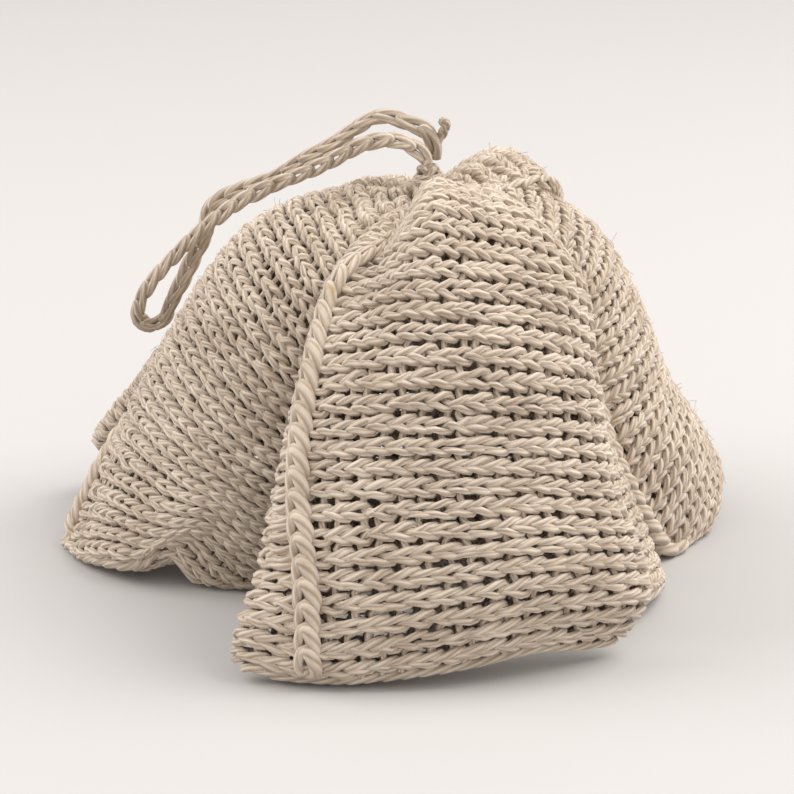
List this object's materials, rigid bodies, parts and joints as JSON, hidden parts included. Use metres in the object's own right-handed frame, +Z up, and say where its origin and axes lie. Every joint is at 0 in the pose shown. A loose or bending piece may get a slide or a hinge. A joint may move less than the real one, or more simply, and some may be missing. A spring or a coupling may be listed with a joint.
{
  "type": "knitted body puff",
  "caption": "Knitted linen bath puff: slack tubular lobes tied at one neck and fanned out, with crocheted seams and a hanging loop of crocheted cord.",
  "frame": {"origin": "on the floor under the middle of the lobes", "axes": "+Z up out of the tied neck, -Y out through the broad front lobe, +X to the right of it"},
  "size_m": [0.1769, 0.1666, 0.1123],
  "materials": {
    "knitted_linen": "plied natural flax yarn, knitted in stocking stitch",
    "crochet_seam": "the same yarn, crocheted in a chain",
    "crochet_cord": "the same yarn, crocheted in a thin chain and drawn tight"
  },
  "bodies": {
    "neck": {"middle_front_back": "knitted_linen", "middle_left_right": "knitted_linen", "middle_slanting": "knitted_linen", "tie_wrap": "crochet_cord", "tie_knot": "crochet_cord"},
    "lobe_front": {"lobe_front": "knitted_linen", "side_seam_front": "crochet_seam", "end_seam_front": "crochet_seam"},
    "lobe_front_right": {"lobe_front_right": "knitted_linen", "side_seam_front_right": "crochet_seam", "end_seam_front_right": "crochet_seam"},
    "lobe_right": {"lobe_right": "knitted_linen", "side_seam_right": "crochet_seam", "end_seam_right": "crochet_seam"},
    "lobe_back": {"lobe_back": "knitted_linen", "side_seam_back": "crochet_seam", "end_seam_back": "crochet_seam"},
    "lobe_back_left": {"lobe_back_left": "knitted_linen", "side_seam_back_left": "crochet_seam", "end_seam_back_left": "crochet_seam"},
    "lobe_left": {"lobe_left": "knitted_linen", "side_seam_left": "crochet_seam", "end_seam_left": "crochet_seam"},
    "loop": {"hanging_loop": "crochet_cord", "loop_tail": "crochet_cord"}
  },
  "joints": [
    {"name": "front_lift", "type": "hinge", "parent": "neck", "child": "lobe_front", "pos_m": [0.0114, -0.0055, 0.09], "axis": [-1, 0, 0], "range_deg": [0, 25]},
    {"name": "front_right_lift", "type": "hinge", "parent": "neck", "child": "lobe_front_right", "pos_m": [0.01853, -0.00163, 0.09], "axis": [-0.5446, -0.8387, 0], "range_deg": [0, 25]},
    {"name": "right_lift", "type": "hinge", "parent": "neck", "child": "lobe_right", "pos_m": [0.01939, 0.00591, 0.09], "axis": [0.342, -0.9397, 0], "range_deg": [0, 25]},
    {"name": "back_lift", "type": "hinge", "parent": "neck", "child": "lobe_back", "pos_m": [0.01458, 0.01088, 0.09], "axis": [0.9272, -0.3746, 0], "range_deg": [0, 25]},
    {"name": "back_left_lift", "type": "hinge", "parent": "neck", "child": "lobe_back_left", "pos_m": [0.00628, 0.00979, 0.09], "axis": [0.7986, 0.6018, 0], "range_deg": [0, 25]},
    {"name": "left_lift", "type": "hinge", "parent": "neck", "child": "lobe_left", "pos_m": [0.00296, 0.00196, 0.09], "axis": [-0.1219, 0.9925, 0], "range_deg": [0, 25]},
    {"name": "loop_swing", "type": "hinge", "parent": "neck", "child": "loop", "pos_m": [0.0114, 0.003, 0.098], "axis": [0.4695, 0.8829, 0], "range_deg": [0, 70]}
  ]
}
